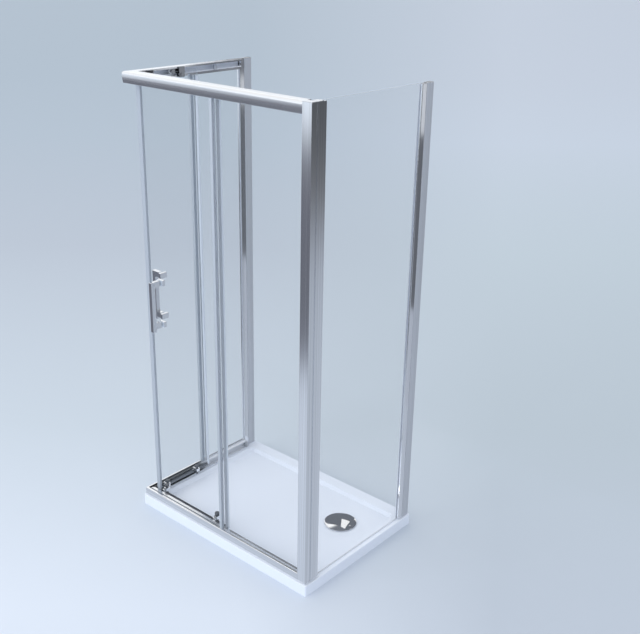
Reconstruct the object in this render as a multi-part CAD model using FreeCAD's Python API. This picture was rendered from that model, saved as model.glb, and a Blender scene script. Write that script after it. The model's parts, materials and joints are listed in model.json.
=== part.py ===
import FreeCAD, Part
import math
import os

V = FreeCAD.Vector

# Corner-entry shower enclosure on a low tray. Millimetres, +Z up, origin at the middle of the
# tray's underside. Two sliding panes meet at the left front corner, a fixed side panel closes the
# right, and the back stands against a wall.
#
# Each side is drawn as a straight run: s along it, u inwards from the frame's outer face, z up
# from the floor. The front run starts at the left front corner and goes right. The left run is
# its mirror image and goes back. The right run starts at the right front corner and goes back.

# --- Overall -------------------------------------------------------------------------------
tray_length = 1000.0
tray_width = 700.0
tray_height = 50.0
enclosure_height = 1900.0
edge_setback = 8.0              # tray's edge to the frame's outer face, where the tiles come
frame_top = tray_height + enclosure_height

# --- Tray ----------------------------------------------------------------------------------
tray_corner_radius = 7.0
tray_edge_radius = 3.0
rim_beside_rails = 10.0         # flat rim that shows inside the bottom rails
rim_at_back = 56.0
rim_at_right = 49.0
recess_depth = 16.0
recess_slope = 14.0             # how far the recess's sides lean in
recess_corner_radius = 9.0
waste_from_right = 202.0        # tray's right edge to the waste's middle
waste_from_back = 244.0
waste_x = tray_length / 2 - waste_from_right
waste_y = tray_width / 2 - waste_from_back
dish_radius = 118.0
dish_fall = 3.0
underside_pocket_radius = 76.0
underside_pocket_height = 11.0

# --- Waste ---------------------------------------------------------------------------------
waste_hole_radius = 46.0
waste_flange_radius = 64.0
waste_flange_thickness = 3.0
waste_seal_thickness = 2.0
waste_wall = 2.5
waste_thread_clearance = 1.5
waste_nut_radius = 60.0
waste_nut_height = 7.0
outlet_radius = 20.0
outlet_height = 6.0
floor_clearance = 0.5
cover_radius = 71.5
cover_rise = 10.5
cover_thickness = 1.6
cover_rim_height = 1.8
cover_gap = 0.3
cover_skirt_radius = 40.5
cover_skirt_depth = 7.0
cover_window_width = 22.0
cover_foot_radius = 3.0
cover_foot_circle = 54.0
cover_feet = 3

# --- Glass and rubbers ---------------------------------------------------------------------
glass = 6.0
gasket = 1.0                    # rubber on each side of a fixed pane
gasket_edge = 2.0               # rubber under and over a fixed pane
fixed_pane_u = 10.0             # frame's outer face to a fixed pane
door_pane_u = 38.0              # frame's outer face to a sliding pane
running_gap = 0.3
groove_u0 = fixed_pane_u - gasket
groove_u1 = fixed_pane_u + glass + gasket
fixed_pane_back = fixed_pane_u + glass
door_pane_back = door_pane_u + glass

# --- Extrusions ----------------------------------------------------------------------------
wall = 2.0
mitre_gap = 0.1
upright_radius = 3.0

# --- Rollers in the header -----------------------------------------------------------------
wheel_radius = 12.0
wheel_groove_radius = 10.5
wheel_width = 7.0
wheel_chamfer = 0.5
wheel_to_pane = 12.5            # wheel's middle plane to the pane's outer face
wheel_plane = door_pane_u - wheel_to_pane
wheel_spacing = 34.0
pin_radius = 2.5
pin_clearance = 0.05
pin_head_radius = 4.2
pin_head = 1.4
rail_bead_width = 3.0
wheel_groove_width = 4.6
track_bead = 4.0
header_drop = 9.8               # outer wall below the track's underside
head_clearance = 4.0
header_wall = 2.2
header_lip = 4.8
header_radius = 12.0
header_bow = 1.8                # lower edge of the front behind its fullest part
header_edge_radius = 1.2
shelf_overhang = 3.0
shelf_edge = wheel_plane + rail_bead_width / 2 + shelf_overhang

header_height = (header_drop + header_wall + track_bead + running_gap + wheel_groove_radius
                 + wheel_radius + head_clearance + header_wall)
header_bottom = frame_top - header_height
header_depth = door_pane_back
shelf_bottom = header_bottom + header_drop
shelf_top = shelf_bottom + header_wall
bead_top = shelf_top + track_bead
wheel_z = bead_top + running_gap + wheel_groove_radius

# --- Spring guides in the bottom rail ------------------------------------------------------
guide_wheel_radius = 10.0
guide_groove_radius = 8.6
guide_wheel_to_pane = 9.0
guide_wheel_plane = door_pane_u - guide_wheel_to_pane
guide_bead_width = 2.0
guide_groove_width = 3.4
guide_bead = 4.0
button_travel = 5.0
floor_to_wheel = 1.1            # left under a wheel whose button is pressed
rail_inner_lip = 6.0
rail_step = 2.0                 # outer flange above the guide lip
rail_height = (wall + floor_to_wheel + button_travel + guide_wheel_radius + guide_groove_radius
               + running_gap + guide_bead + wall + rail_step)
rail_top = tray_height + rail_height
rail_depth = door_pane_back
rail_floor = tray_height + wall
guide_wheel_z = rail_floor + floor_to_wheel + button_travel + guide_wheel_radius
guide_lip_top = rail_top - rail_step
guide_lip_bottom = guide_lip_top - wall
guide_bead_bottom = guide_lip_bottom - guide_bead

# --- Guide blocks and buttons --------------------------------------------------------------
collar_radius = 4.0
pane_over_collar = 1.9
door_pane_bottom = guide_wheel_z + collar_radius + pane_over_collar
pad_lift = 0.5                  # boss that stands each fitting off the pane
stem_radius = 3.0
block_width = 18.0
block_depth = 22.0
block_height = 15.0
block_edge_radius = 3.0
block_over_edge = 4.0           # block's underside above the pane's lower edge
block_bottom = door_pane_bottom + block_over_edge
block_top = block_bottom + block_height
stem_plane = door_pane_back + pad_lift + block_depth / 2
spring_pocket_radius = 5.4
spring_pocket_depth = 9.0
button_radius = 10.5
button_height = 10.0
button_edge_radius = 2.5
button_gap = button_travel + 1.0
eye_width = 9.0
eye_depth = 8.5
eye_height = 10.0
guide_nut_radius = 7.0
guide_nut = 3.0
stud_radius = 4.0
stud_clearance = 1.0
stud_above_block = 8.0

# --- Roller hangers ------------------------------------------------------------------------
hanger_plate = 3.0
hanger_arm_height = 16.0
hanger_block_width = 30.0
hanger_block_offset = 20.0      # block's middle past the pair of wheels' middle
hanger_block_depth = 6.0
hanger_drop = 22.0              # block below the pane's upper edge
hanger_web = 6.0
hanger_web_gap = 0.4
hanger_below_top = 2.0
pane_over_shelf = 13.0
door_pane_top = shelf_top + pane_over_shelf
bolt_drop = 12.0
bolt_pad_radius = 8.0
bolt_cap_radius = 7.0
bolt_cap = 2.5
first_carriage = 82.0
last_carriage_setback = 108.0

# --- Uprights ------------------------------------------------------------------------------
post_width = 45.0
post_depth = 26.0
post_neck_width = 35.0
post_neck = 5.0
side_profile_width = 30.0
side_profile_depth = 41.0
upright_groove = 14.0           # how deep a fixed pane stands in an upright
wall_channel_width = 21.0
lip_radius = 1.5
wall_channel_depth = 40.0
adjusting_show = 27.0
adjusting_hidden = 20.0
fixed_edge_width = 14.0
fixed_edge_depth = 16.0
fixed_edge_web = 3.0
cap_height = 2.0
wall_screw_radius = 2.75
wall_screw_spacing = 760.0
end_plug_length = 8.0
stop_length = 14.0
stop_height = 20.0
stop_overlap = 5.0
corner_plate = 3.0
corner_plate_width = 14.0
corner_plate_length = 50.0
bracket_length = 14.0
bracket_height = 14.0

# --- Sliding panes -------------------------------------------------------------------------
front_opening = 484.0           # corner to the front fixed pane's edge upright
left_opening = 330.0
pane_overlap = 20.0
seal_wall = 1.2
seal_grip = 12.0
seal_core = 8.0                 # closing seal between the corner and the pane
trailing_seal_grip = 8.0
fin_thickness = 1.2
fin_gap = 0.5
drip_drop = 4.0
drip_grip = 7.0
drip_wall = 1.0
notch_clearance = 3.0

# --- Handles -------------------------------------------------------------------------------
handle_setback = 68.0           # pane's closing edge to the handle's middle
handle_middle = 999.5           # floor to the handle's middle
handle_height = 222.0
handle_bar = 18.0
handle_post_height = 24.0
handle_toe = 13.0               # bar below the lower post
handle_bend = 9.0               # inside the corners of bar and posts
handle_edge_radius = 1.5
handle_outer_u = -7.0
handle_washer = 1.0
handle_pad_width = 36.0
handle_pad_height = 24.0
handle_pad_thickness = 13.0
handle_thread = 8.0
finger_room = 20.0

# --- Worked out from the sizes above -------------------------------------------------------
front_run = tray_length - 2 * edge_setback - post_width
side_run = tray_width - 2 * edge_setback
wall_channel_start = side_run - wall_channel_depth
adjusting_start = wall_channel_start - adjusting_show
side_profile_start = post_depth + post_neck
side_profile_end = side_profile_start + side_profile_depth
upright_top = frame_top - cap_height
door_edge = door_pane_back + mitre_gap * 2 + 2.0
handle_s = door_edge + handle_setback
recess_floor = tray_height - recess_depth
dish_floor = recess_floor - dish_fall
flange_seat = dish_floor - waste_flange_thickness - waste_seal_thickness
flange_top = dish_floor


def block(s, u, z):
    """Box between the pairs of limits s, u and z."""
    return Part.makeBox(s[1] - s[0], u[1] - u[0], z[1] - z[0], V(s[0], u[0], z[0]))


def rod(radius, s, u, z):
    """Cylinder across a run, from u[0] to u[1], about the line at s and z."""
    return Part.makeCylinder(radius, u[1] - u[0], V(s, u[0], z), V(0, 1, 0))


def column(radius, s, u, z):
    """Upright cylinder from z[0] to z[1] at s and u."""
    return Part.makeCylinder(radius, z[1] - z[0], V(s, u, z[0]))


def outline(a, b, radii, point):
    """Face of a rectangle a by b with a radius at each corner, anticlockwise from the lowest a
    and b; point(a, b) gives the place in space."""
    corners = [(a[0], b[0]), (a[1], b[0]), (a[1], b[1]), (a[0], b[1])]
    ways = [(1, 0), (0, 1), (-1, 0), (0, -1)]
    edges = []
    for k, r in enumerate(radii):
        (ca, cb), (na, nb) = corners[k], corners[k - 3]
        into, out, next_r = ways[k - 1], ways[k], radii[k - 3]
        start = point(ca + r * out[0], cb + r * out[1])
        if r > 0:
            bulge = r * (1 - math.sqrt(0.5))
            before = point(ca - r * into[0], cb - r * into[1])
            middle = point(ca + bulge * (out[0] - into[0]), cb + bulge * (out[1] - into[1]))
            edges.append(Part.Arc(before, middle, start).toShape())
        edges.append(Part.LineSegment(start, point(na - next_r * out[0], nb - next_r * out[1])).toShape())
    return Part.Face(Part.Wire(edges))


def rail_bar(s, u, z, radii=(0, 0, 0, 0)):
    """Bar along a run with the section u by z; radii from the lowest outer corner, anticlockwise."""
    face = outline(u, z, radii, lambda a, b: V(s[0], a, b))
    return face.extrude(V(s[1] - s[0], 0, 0))


def upright_bar(s, u, z, radii=(0, 0, 0, 0)):
    """Upright bar with the section s by u; radii from the lowest s and u, anticlockwise."""
    face = outline(s, u, radii, lambda a, b: V(a, b, z[0]))
    return face.extrude(V(0, 0, z[1] - z[0]))


def joined(shapes):
    """One shape from touching ones, without the seams between them."""
    first, *rest = shapes
    return first.fuse(rest).removeSplitter() if rest else first


def mitred(bar):
    """Cuts a run's bar at the corner, along the line where u is s."""
    far = header_depth + 1
    points = [V(mitre_gap - 1, -1, 0), V(mitre_gap + far, far, 0), V(mitre_gap - 1, far, 0)]
    return bar.cut(Part.Face(Part.makePolygon(points + points[:1])).extrude(V(0, 0, frame_top + 1)))


# --- From a run to the whole enclosure -----------------------------------------------------
corner_x = -tray_length / 2 + edge_setback
corner_y = -tray_width / 2 + edge_setback


def on_front(shape):
    placed = shape.copy()
    placed.translate(V(corner_x, corner_y, 0))
    return placed


def on_left(shape):
    placed = shape.mirror(V(0, 0, 0), V(1, -1, 0))
    placed.translate(V(corner_x, corner_y, 0))
    return placed


def on_right(shape):
    placed = shape.copy()
    placed.rotate(V(0, 0, 0), V(0, 0, 1), 90)
    placed.translate(V(-corner_x, corner_y, 0))
    return placed


# --- Tray and waste ------------------------------------------------------------------------
def tray():
    x = (-tray_length / 2, tray_length / 2)
    y = (-tray_width / 2, tray_width / 2)
    body = upright_bar(x, y, (0, tray_height), (tray_corner_radius,) * 4)
    rim = [e for e in body.Edges if e.BoundBox.ZMin > tray_height - 0.01]
    body = body.makeFillet(tray_edge_radius, rim)

    rim_front = edge_setback + rail_depth + rim_beside_rails
    rx = (x[0] + rim_front, x[1] - rim_at_right)
    ry = (y[0] + rim_front, y[1] - rim_at_back)
    rings = []
    for level in (tray_height + 1, recess_floor):
        inset = (tray_height - level) * recess_slope / recess_depth
        corner = recess_corner_radius + recess_slope - inset
        face = outline((rx[0] + inset, rx[1] - inset), (ry[0] + inset, ry[1] - inset),
                       (corner,) * 4, lambda a, b: V(a, b, level))
        rings.append(face.OuterWire)
    body = body.cut(Part.makeLoft(rings, True, True))

    dish = Part.makeCone(waste_flange_radius, dish_radius, dish_fall,
                         V(waste_x, waste_y, dish_floor))
    seat = column(waste_flange_radius + floor_clearance, waste_x, waste_y, (flange_seat, recess_floor))
    hole = column(waste_hole_radius, waste_x, waste_y, (-1, tray_height))
    pocket = column(underside_pocket_radius, waste_x, waste_y, (-1, underside_pocket_height))
    return body.cut([dish, seat, hole, pocket])


waste_tube_radius = waste_hole_radius - waste_thread_clearance


def waste_body():
    flange = column(waste_flange_radius, waste_x, waste_y,
                    (flange_top - waste_flange_thickness, flange_top))
    tube = column(waste_tube_radius, waste_x, waste_y, (floor_clearance, flange_top))
    bowl = column(waste_tube_radius - waste_wall, waste_x, waste_y,
                  (floor_clearance + outlet_height, flange_top + 1))
    outlet = column(outlet_radius, waste_x, waste_y, (0, flange_top))
    return joined([flange, tube]).cut([bowl, outlet])


def waste_seal():
    z = (flange_seat, flange_seat + waste_seal_thickness)
    ring = column(waste_flange_radius, waste_x, waste_y, z)
    return ring.cut(column(waste_hole_radius, waste_x, waste_y, z))


def waste_nut():
    z = (underside_pocket_height - waste_nut_height, underside_pocket_height)
    blank = Part.Face(Part.makePolygon(
        [V(waste_x + waste_nut_radius * math.cos(math.radians(60 * k)),
           waste_y + waste_nut_radius * math.sin(math.radians(60 * k)), z[0]) for k in range(7)]))
    nut = blank.extrude(V(0, 0, z[1] - z[0]))
    return nut.cut(column(waste_tube_radius, waste_x, waste_y, z))


def dome(radius, rise, base):
    """Cap of a sphere that stands rise above a rim of the given radius at height base."""
    sphere = (radius ** 2 + rise ** 2) / (2 * rise)
    ball = Part.makeSphere(sphere, V(waste_x, waste_y, base + rise - sphere))
    return ball.common(column(radius, waste_x, waste_y, (base, base + rise + 1)))


def waste_cover():
    """Domed cover on three feet, with a windowed skirt that centres it in the waste."""
    foot = flange_top + cover_gap
    skirt_bottom = foot - cover_skirt_depth
    rim_bottom = recess_floor + cover_gap
    rim_top = rim_bottom + cover_rim_height
    summit = rim_top + cover_rise
    outside = joined([dome(cover_radius, cover_rise, rim_top),
                      column(cover_radius, waste_x, waste_y, (rim_bottom, rim_top))])
    inner_radius = cover_radius - cover_thickness
    inside = joined([dome(inner_radius, cover_rise - cover_thickness, rim_top),
                     column(inner_radius, waste_x, waste_y, (rim_bottom - 1, rim_top))])

    skirt = column(cover_skirt_radius, waste_x, waste_y, (skirt_bottom, summit))
    skirt = skirt.cut(column(cover_skirt_radius - cover_thickness, waste_x, waste_y,
                             (skirt_bottom - 1, summit + 1)))
    reach = cover_skirt_radius + 1
    for turn in (0, 90):
        window = Part.makeBox(2 * reach, cover_window_width, rim_bottom - skirt_bottom,
                              V(waste_x - reach, waste_y - cover_window_width / 2, skirt_bottom))
        window.rotate(V(waste_x, waste_y, 0), V(0, 0, 1), turn)
        skirt = skirt.cut(window)
    supports = [skirt]
    for k in range(cover_feet):
        turn = 2 * math.pi * k / cover_feet
        supports.append(column(cover_foot_radius, waste_x + cover_foot_circle * math.cos(turn),
                               waste_y + cover_foot_circle * math.sin(turn), (foot, summit)))
    below = column(cover_radius, waste_x, waste_y, (skirt_bottom, rim_bottom))
    envelope = joined([outside, below])
    return joined([outside.cut(inside)] + [s.common(envelope) for s in supports])


# --- Header and bottom rail ----------------------------------------------------------------
def header_outline(z):
    """The header's outside: a round upper corner that runs into a gently bowed front."""
    fullest = z[1] - header_radius
    drop = fullest - z[0]
    bow_radius = (drop ** 2 + header_bow ** 2) / (2 * header_bow)
    turn = header_radius * (1 - math.sqrt(0.5))

    def front(height):
        """How far back the front is, the given height below its fullest part."""
        return bow_radius - math.sqrt(bow_radius ** 2 - height ** 2)

    corner = header_edge_radius
    low = V(0, front(drop) + corner, z[0])
    edge = V(0, front(drop - corner), z[0] + corner)
    middle = V(0, front(drop / 2), z[0] + drop / 2)
    full = V(0, 0, fullest)
    crown = V(0, turn, z[1] - turn)
    top = V(0, header_radius, z[1])
    back = [V(0, header_depth, z[1]), V(0, header_depth, z[0])]
    return Part.Face(Part.Wire([
        Part.LineSegment(low, edge).toShape(), Part.Arc(edge, middle, full).toShape(),
        Part.Arc(full, crown, top).toShape(), Part.LineSegment(top, back[0]).toShape(),
        Part.LineSegment(*back).toShape(), Part.LineSegment(back[1], low).toShape()]))


def header(length):
    """Rounded top rail, open inwards, with the track bead that the rollers run on."""
    z = (header_bottom, frame_top)
    inner_radius = header_radius - header_wall
    body = header_outline(z).extrude(V(length, 0, 0))
    beyond = header_depth + 1
    lip_u = header_depth - header_wall
    roof = frame_top - header_wall
    cavity = rail_bar((0, length), (header_wall, lip_u), (shelf_top, roof), (0, 0, 0, inner_radius))
    mouth = block((0, length), (lip_u - 1, beyond), (shelf_top, roof - header_lip))
    under = block((0, length), (shelf_edge, beyond), (z[0] - 1, shelf_top + 1))
    groove = block((0, length), (groove_u0, groove_u1), (z[0] - 1, shelf_bottom))
    recess = block((0, length), (groove_u1 + header_wall, beyond), (z[0] - 1, shelf_bottom))
    pocket = block((0, length), (header_wall + header_bow, groove_u0 - header_wall),
                   (z[0] + header_wall, shelf_bottom))
    body = body.cut([cavity, mouth, under, groove, recess, pocket])
    half = rail_bead_width / 2
    crown = half - 0.2
    bead = rail_bar((0, length), (wheel_plane - half, wheel_plane + half), (shelf_top, bead_top),
                    (0, 0, crown, crown))
    return mitred(joined([body, bead]))


def bottom_rail(length):
    """Low rail with the fixed pane's groove, the lip that the guides hook under and a drip lip."""
    body = rail_bar((0, length), (0, rail_depth), (tray_height, rail_top), (0, 0, 0, upright_radius))
    beyond = rail_depth + 1
    groove_wall = groove_u1 + wall
    pocket = block((0, length), (wall, groove_u0 - wall), (rail_floor, rail_top - wall))
    groove = block((0, length), (groove_u0, groove_u1), (rail_floor, rail_top + 1))
    above_lip = block((0, length), (groove_u1 - 1, beyond), (guide_lip_top, rail_top + 1))
    bead_u0 = guide_wheel_plane - guide_bead_width / 2
    bead_u1 = guide_wheel_plane + guide_bead_width / 2
    under_lip = block((0, length), (groove_wall, bead_u0), (rail_floor, guide_lip_bottom))
    under_bead = block((0, length), (bead_u0 - 1, bead_u1 + 1), (rail_floor, guide_bead_bottom))
    open_side = block((0, length), (bead_u1, rail_depth - wall), (rail_floor, rail_top + 1))
    drip = block((0, length), (rail_depth - wall - 1, beyond), (rail_floor + rail_inner_lip, rail_top + 1))
    body = body.cut([pocket, groove, above_lip, under_lip, under_bead, open_side, drip])
    return mitred(body)


def corner_plate_at(u0, z0):
    """Flat L that joins the two mitred rails; both arms in one piece."""
    arm = block((u0, u0 + corner_plate_length), (u0, u0 + corner_plate_width), (z0, z0 + corner_plate))
    return joined([arm, arm.mirror(V(0, 0, 0), V(1, -1, 0))])


def header_end_bracket(end):
    """Block that ties a header's open end to the upright."""
    z1 = frame_top - header_wall
    u1 = header_depth - header_wall
    return block((end - bracket_length, end), (shelf_edge + 1, u1), (z1 - bracket_height, z1))


def rail_end_plug(end):
    z = (rail_floor, guide_lip_top)
    plug = block((end - end_plug_length, end), (groove_u1 + wall, rail_depth - wall), z)
    half = guide_bead_width / 2
    lip = block((0, end + 1), (0, guide_wheel_plane + half), (guide_lip_bottom, z[1]))
    bead = block((0, end + 1), (guide_wheel_plane - half, guide_wheel_plane + half),
                 (guide_bead_bottom, z[1]))
    return plug.cut([lip, bead])


def door_stop(opening, travel):
    """Rubber block astride the track bead, where the last carriage ends its run."""
    last = opening + pane_overlap - last_carriage_setback + wheel_spacing / 2
    s0 = last + wheel_radius + travel + running_gap
    u = (wheel_plane - wheel_width / 2 - 1, wheel_plane + rail_bead_width / 2 + shelf_overhang)
    stop = block((s0, s0 + stop_length), u, (shelf_top, shelf_top + stop_height))
    half = rail_bead_width / 2
    slot = block((s0 - 1, s0 + stop_length + 1), (wheel_plane - half, wheel_plane + half),
                 (shelf_top, bead_top))
    return stop.cut(slot)


# --- Uprights ------------------------------------------------------------------------------
def corner_post():
    """Front post: an oblong tube with the front pane's groove and a recessed neck behind."""
    s = (front_run, front_run + post_width)
    z = (tray_height, upright_top)
    body = upright_bar(s, (0, post_depth), z, (0, upright_radius, upright_radius, 0))
    inner = s[0] + upright_groove + wall
    hollow = upright_bar((inner, s[1] - wall), (wall, post_depth - wall), z,
                         (0, upright_radius - wall, upright_radius - wall, 0))
    outer_chamber = block((s[0] + wall, inner - wall), (wall, groove_u0 - wall), z)
    inner_chamber = block((s[0] + wall, inner - wall), (groove_u1 + wall, post_depth - wall), z)
    groove = block((s[0] - 1, s[0] + upright_groove), (groove_u0, groove_u1), z)
    margin = (post_width - post_neck_width) / 2
    neck_s = (s[0] + margin, s[1] - margin)
    neck = block(neck_s, (post_depth, side_profile_start), z)
    channel = block((neck_s[0] + wall, neck_s[1] - wall), (post_depth - 1, side_profile_start), z)
    body = body.cut([hollow, outer_chamber, inner_chamber, groove])
    return joined([body, neck.cut(channel)])


def glazing_tube(along, across, mouth_at_end):
    """Upright tube of a run with a pane's groove in one end, open along the run."""
    z = (tray_height, upright_top)
    r = upright_radius
    lip = r if mouth_at_end else lip_radius
    body = upright_bar(along, across, z, (lip, 0, 0, lip))
    if mouth_at_end:
        groove_s = (along[1] - upright_groove, along[1] + 1)
        hollow_s = (along[0] + wall, groove_s[0] - wall)
    else:
        groove_s = (along[0] - 1, along[0] + upright_groove)
        hollow_s = (groove_s[1] + wall, along[1] - wall)
    groove = block(groove_s, (groove_u0, groove_u1), z)
    hollow = block(hollow_s, (across[0] + wall, across[1] - wall), z)
    return body.cut([groove, hollow])


def side_panel_profile():
    return glazing_tube((side_profile_start, side_profile_end), (0, side_profile_width), True)


def adjusting_profile():
    across = (wall, wall_channel_width - wall)
    return glazing_tube((adjusting_start, wall_channel_start + adjusting_hidden), across, False)


def wall_channel():
    """Channel screwed to the wall, which the adjusting profile slides into."""
    s = (wall_channel_start, side_run)
    z = (tray_height, upright_top)
    body = upright_bar(s, (0, wall_channel_width), z, (lip_radius, 0, 0, lip_radius))
    hollow = block((s[0] - 1, s[1] - wall), (wall, wall_channel_width - wall), z)
    middle = (tray_height + frame_top) / 2
    holes = []
    for k in (-1, 0, 1):
        start = V(s[1] - wall - 1, wall_channel_width / 2, middle + k * wall_screw_spacing)
        holes.append(Part.makeCylinder(wall_screw_radius, wall + 2, start, V(1, 0, 0)))
    return body.cut([hollow] + holes)


def fixed_edge(opening):
    """Upright on a fixed pane's free edge, between the bottom rail and the header."""
    u0 = fixed_pane_u + glass / 2 - fixed_edge_depth / 2
    u = (u0, u0 + fixed_edge_depth)
    z = (rail_top, header_bottom)
    body = upright_bar((opening, opening + fixed_edge_width), u, z, (1.5, 0, 0, 1.5))
    groove = block((opening + fixed_edge_web, opening + fixed_edge_width + 1), (groove_u0, groove_u1), z)
    return body.cut(groove)


def top_cap(s, u, radii=(0, 0, 0, 0)):
    return upright_bar(s, u, (upright_top, frame_top), radii)


# --- Fixed glass and its rubbers -----------------------------------------------------------
def pane_box(groove_s, margin=0.0):
    """Fixed pane in a run's grooves, or with a margin, the space that its rubber fills."""
    side = gasket - margin
    edge = gasket_edge if margin == 0 else 0
    u = (groove_u0 + side, groove_u1 - side) if margin == 0 else (groove_u0, groove_u1)
    return block((groove_s[0] + side, groove_s[1] - side), u, (rail_floor + edge, shelf_bottom - edge))


def run_pane(opening, upright):
    return pane_box((opening + fixed_edge_web, upright + upright_groove))


def run_gasket(opening, upright):
    """Rubber all round a fixed pane, as deep as each groove that holds it."""
    groove_s = (opening + fixed_edge_web, upright + upright_groove)
    ring = pane_box(groove_s, gasket)
    window = block((opening + fixed_edge_width, upright), (0, door_pane_u), (rail_top, header_bottom))
    return ring.cut([run_pane(opening, upright), window])


side_glass_s = (side_profile_end - upright_groove, adjusting_start + upright_groove)


def side_glass():
    s = (side_glass_s[0] + gasket, side_glass_s[1] - gasket)
    return block(s, (fixed_pane_u, fixed_pane_back), (tray_height + gasket_edge, frame_top))


def side_gasket():
    """Rubbers in the two uprights and the thin strip that the side pane stands on."""
    ring = block(side_glass_s, (groove_u0, groove_u1), (tray_height, upright_top))
    window = block((side_profile_end, adjusting_start), (0, door_pane_u), (tray_height + gasket_edge, frame_top))
    outer = block((side_profile_end, adjusting_start), (0, fixed_pane_u), (tray_height, frame_top))
    inner = block((side_profile_end, adjusting_start), (fixed_pane_back, door_pane_u), (tray_height, frame_top))
    return ring.cut([side_glass(), window, outer, inner])


# --- Sliding doors -------------------------------------------------------------------------
def door_end(opening):
    return opening + pane_overlap


def carriages(opening):
    """Middles of the two pairs of rollers."""
    return (first_carriage, door_end(opening) - last_carriage_setback)


def guides(opening):
    """Middles of the two bottom guides, under the hangers' blocks."""
    return (first_carriage, door_end(opening) - last_carriage_setback + hanger_block_offset)


def travel_of(opening):
    return opening - handle_s - handle_bar / 2 - finger_room


def handle_levels():
    half = handle_post_height / 2
    bottom = handle_middle - handle_height / 2
    return (bottom + handle_toe + half, bottom + handle_height - half)


def hanger_bolts(opening):
    z = door_pane_top - bolt_drop
    return [(c + hanger_block_offset, z) for c in carriages(opening)]


def guide_bolts(opening):
    return [(c, block_bottom + stud_above_block) for c in guides(opening)]


def door_pane(opening):
    u = (door_pane_u, door_pane_back)
    pane = block((door_edge, door_end(opening)), u, (door_pane_bottom, door_pane_top))
    holes = hanger_bolts(opening) + guide_bolts(opening) + [(handle_s, z) for z in handle_levels()]
    return pane.cut([rod(stud_radius + stud_clearance, s, u, z) for s, z in holes])


def closing_seal():
    """Magnetic strip on a pane's closing edge, cut to meet the other pane's at the corner."""
    u = (door_pane_u - seal_wall, door_pane_back + seal_wall)
    end = door_edge + seal_grip
    gap = running_gap / 2
    points = [V(u[0] + gap, u[0]), V(end, u[0]), V(end, door_pane_u), V(door_edge, door_pane_u),
              V(door_edge, door_pane_back), V(end, door_pane_back), V(end, u[1]), V(u[1] + gap, u[1])]
    for p in points:
        p.z = door_pane_bottom
    face = Part.Face(Part.makePolygon(points + points[:1]))
    top = wheel_z - hanger_arm_height / 2 - running_gap
    return face.extrude(V(0, 0, top - door_pane_bottom))


def trailing_seal(opening):
    """Strip on a pane's trailing edge, with the fin that closes the gap to the fixed pane."""
    end = door_end(opening)
    u = (door_pane_u - seal_wall, door_pane_back + seal_wall)
    z = (door_pane_bottom, header_bottom - running_gap)
    strip = block((end - trailing_seal_grip, end + seal_wall), u, z)
    strip = strip.cut(block((end - trailing_seal_grip, end), (door_pane_u, door_pane_back), z))
    edge_back = fixed_pane_u + glass / 2 + fixed_edge_depth / 2
    fin = block((end - fin_thickness, end), (edge_back + fin_gap, u[0]), (rail_top + fin_gap, z[1]))
    return joined([strip, fin])


def drip_seal(opening):
    """Strip along a pane's lower edge, notched round the guides."""
    s = (door_edge + seal_grip, door_end(opening) - trailing_seal_grip)
    z = (door_pane_bottom - drip_drop, door_pane_bottom + drip_grip)
    strip = block(s, (door_pane_u - drip_wall, door_pane_back + drip_wall), z)
    strip = strip.cut(block(s, (door_pane_u, door_pane_back), (door_pane_bottom, z[1])))
    half = block_width / 2 + notch_clearance
    for c in guides(opening):
        strip = strip.cut(block((c - half, c + half), (0, 2 * door_pane_u), z))
    return strip


def handle():
    """Flat bar outside the pane, bent into two posts whose ends seat on washers."""
    half = handle_bar / 2
    s = (handle_s - half, handle_s + half)
    bottom = handle_middle - handle_height / 2
    bar_back = handle_outer_u + handle_bar
    low, high = handle_levels()
    half_post = handle_post_height / 2
    body = block(s, (handle_outer_u, door_pane_u - handle_washer), (bottom, bottom + handle_height))
    window = rail_bar(s, (bar_back, door_pane_u), (low + half_post, high - half_post),
                      (handle_bend, 0, 0, handle_bend))
    toe = block(s, (bar_back, door_pane_u), (bottom - 1, low - half_post))
    body = body.cut([window, toe])
    body = body.makeFillet(handle_edge_radius, [e for e in body.Edges if e.BoundBox.YMin < bar_back - 2])
    for level in (low, high):
        thread = (door_pane_u - handle_washer - handle_thread, door_pane_u)
        body = body.cut(rod(stud_radius, handle_s, thread, level))
    return body


def handle_pads():
    """Pads inside the pane, each with the stud that goes through to its post."""
    width, height = handle_pad_width / 2, handle_pad_height / 2
    u = (door_pane_back + handle_washer, door_pane_back + handle_washer + handle_pad_thickness)
    pads = []
    for level in handle_levels():
        plate = block((handle_s - width, handle_s + width), u, (level - height, level + height))
        plate = plate.makeFillet(handle_edge_radius, [e for e in plate.Edges if e.BoundBox.YMax > u[0] + 1])
        stud_u = (door_pane_u - handle_washer - handle_thread, u[0] + 1)
        pads.append(joined([plate, rod(stud_radius, handle_s, stud_u, level)]))
    return Part.makeCompound(pads)


def handle_washers():
    """Thin plates between the pane and the metal, one each side of each hole."""
    washers = []
    for level in handle_levels():
        faces = ((handle_bar, handle_post_height, door_pane_u - handle_washer),
                 (handle_pad_width, handle_pad_height, door_pane_back))
        for width, height, u0 in faces:
            u = (u0, u0 + handle_washer)
            plate = block((handle_s - width / 2 + 1, handle_s + width / 2 - 1), u,
                          (level - height / 2 + 1, level + height / 2 - 1))
            washers.append(plate.cut(rod(stud_radius, handle_s, u, level)))
    return Part.makeCompound(washers)


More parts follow.
